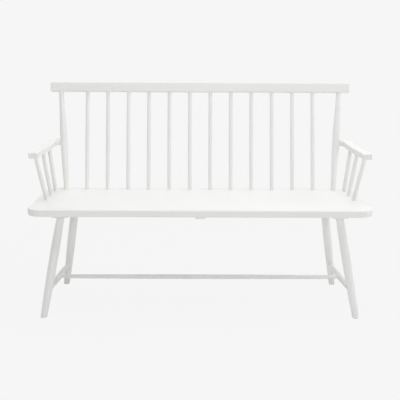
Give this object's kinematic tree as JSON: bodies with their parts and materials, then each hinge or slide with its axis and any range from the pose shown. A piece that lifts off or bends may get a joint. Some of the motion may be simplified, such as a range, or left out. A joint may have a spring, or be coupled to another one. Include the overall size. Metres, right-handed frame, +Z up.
{
  "type": "deacons bench",
  "caption": "Long painted wooden bench with a plank seat, a spindle back under a straight crest rail, open curved arms on spindles, and splayed turned legs with stretchers.",
  "frame": {"origin": "on the floor, under the centre of the bounding box", "axes": "+X along the bench, to the right as seen from the front; +Y from the seat's front edge to the back; +Z up. The front faces -Y."},
  "size_m": [1.388, 0.5516, 0.9217],
  "materials": {
    "white_paint": "white satin paint over wood",
    "bare_wood": "unpainted, inside the joint",
    "screw_steel": "zinc plated"
  },
  "bodies": {
    "root": {"seat": "white_paint", "crest_rail": "white_paint", "centre_stretcher": "white_paint", "back_spindle_01": "white_paint", "back_spindle_02": "white_paint", "back_spindle_03": "white_paint", "back_spindle_04": "white_paint", "back_spindle_05": "white_paint", "back_spindle_06": "white_paint", "back_spindle_07": "white_paint", "back_spindle_08": "white_paint", "back_spindle_09": "white_paint", "back_spindle_10": "white_paint", "back_spindle_11": "white_paint", "back_spindle_12": "white_paint", "back_post_left": "white_paint", "arm_left": "white_paint", "side_stretcher_left": "white_paint", "arm_dowel_left": "bare_wood", "arm_spindle_left_front": "white_paint", "arm_spindle_left_middle": "white_paint", "arm_spindle_left_rear": "white_paint", "back_post_right": "white_paint", "arm_right": "white_paint", "side_stretcher_right": "white_paint", "arm_dowel_right": "bare_wood", "arm_spindle_right_front": "white_paint", "arm_spindle_right_middle": "white_paint", "arm_spindle_right_rear": "white_paint", "leg_front_left": "white_paint", "leg_front_right": "white_paint", "leg_rear_left": "white_paint", "leg_rear_right": "white_paint", "leg_batten_left": "white_paint", "centre_batten": "white_paint", "leg_batten_right": "white_paint", "batten_screw_01": "screw_steel", "batten_screw_02": "screw_steel", "batten_screw_03": "screw_steel", "batten_screw_04": "screw_steel", "batten_screw_05": "screw_steel", "batten_screw_06": "screw_steel", "batten_screw_07": "screw_steel", "batten_screw_08": "screw_steel", "batten_screw_09": "screw_steel"}
  },
  "joints": []
}
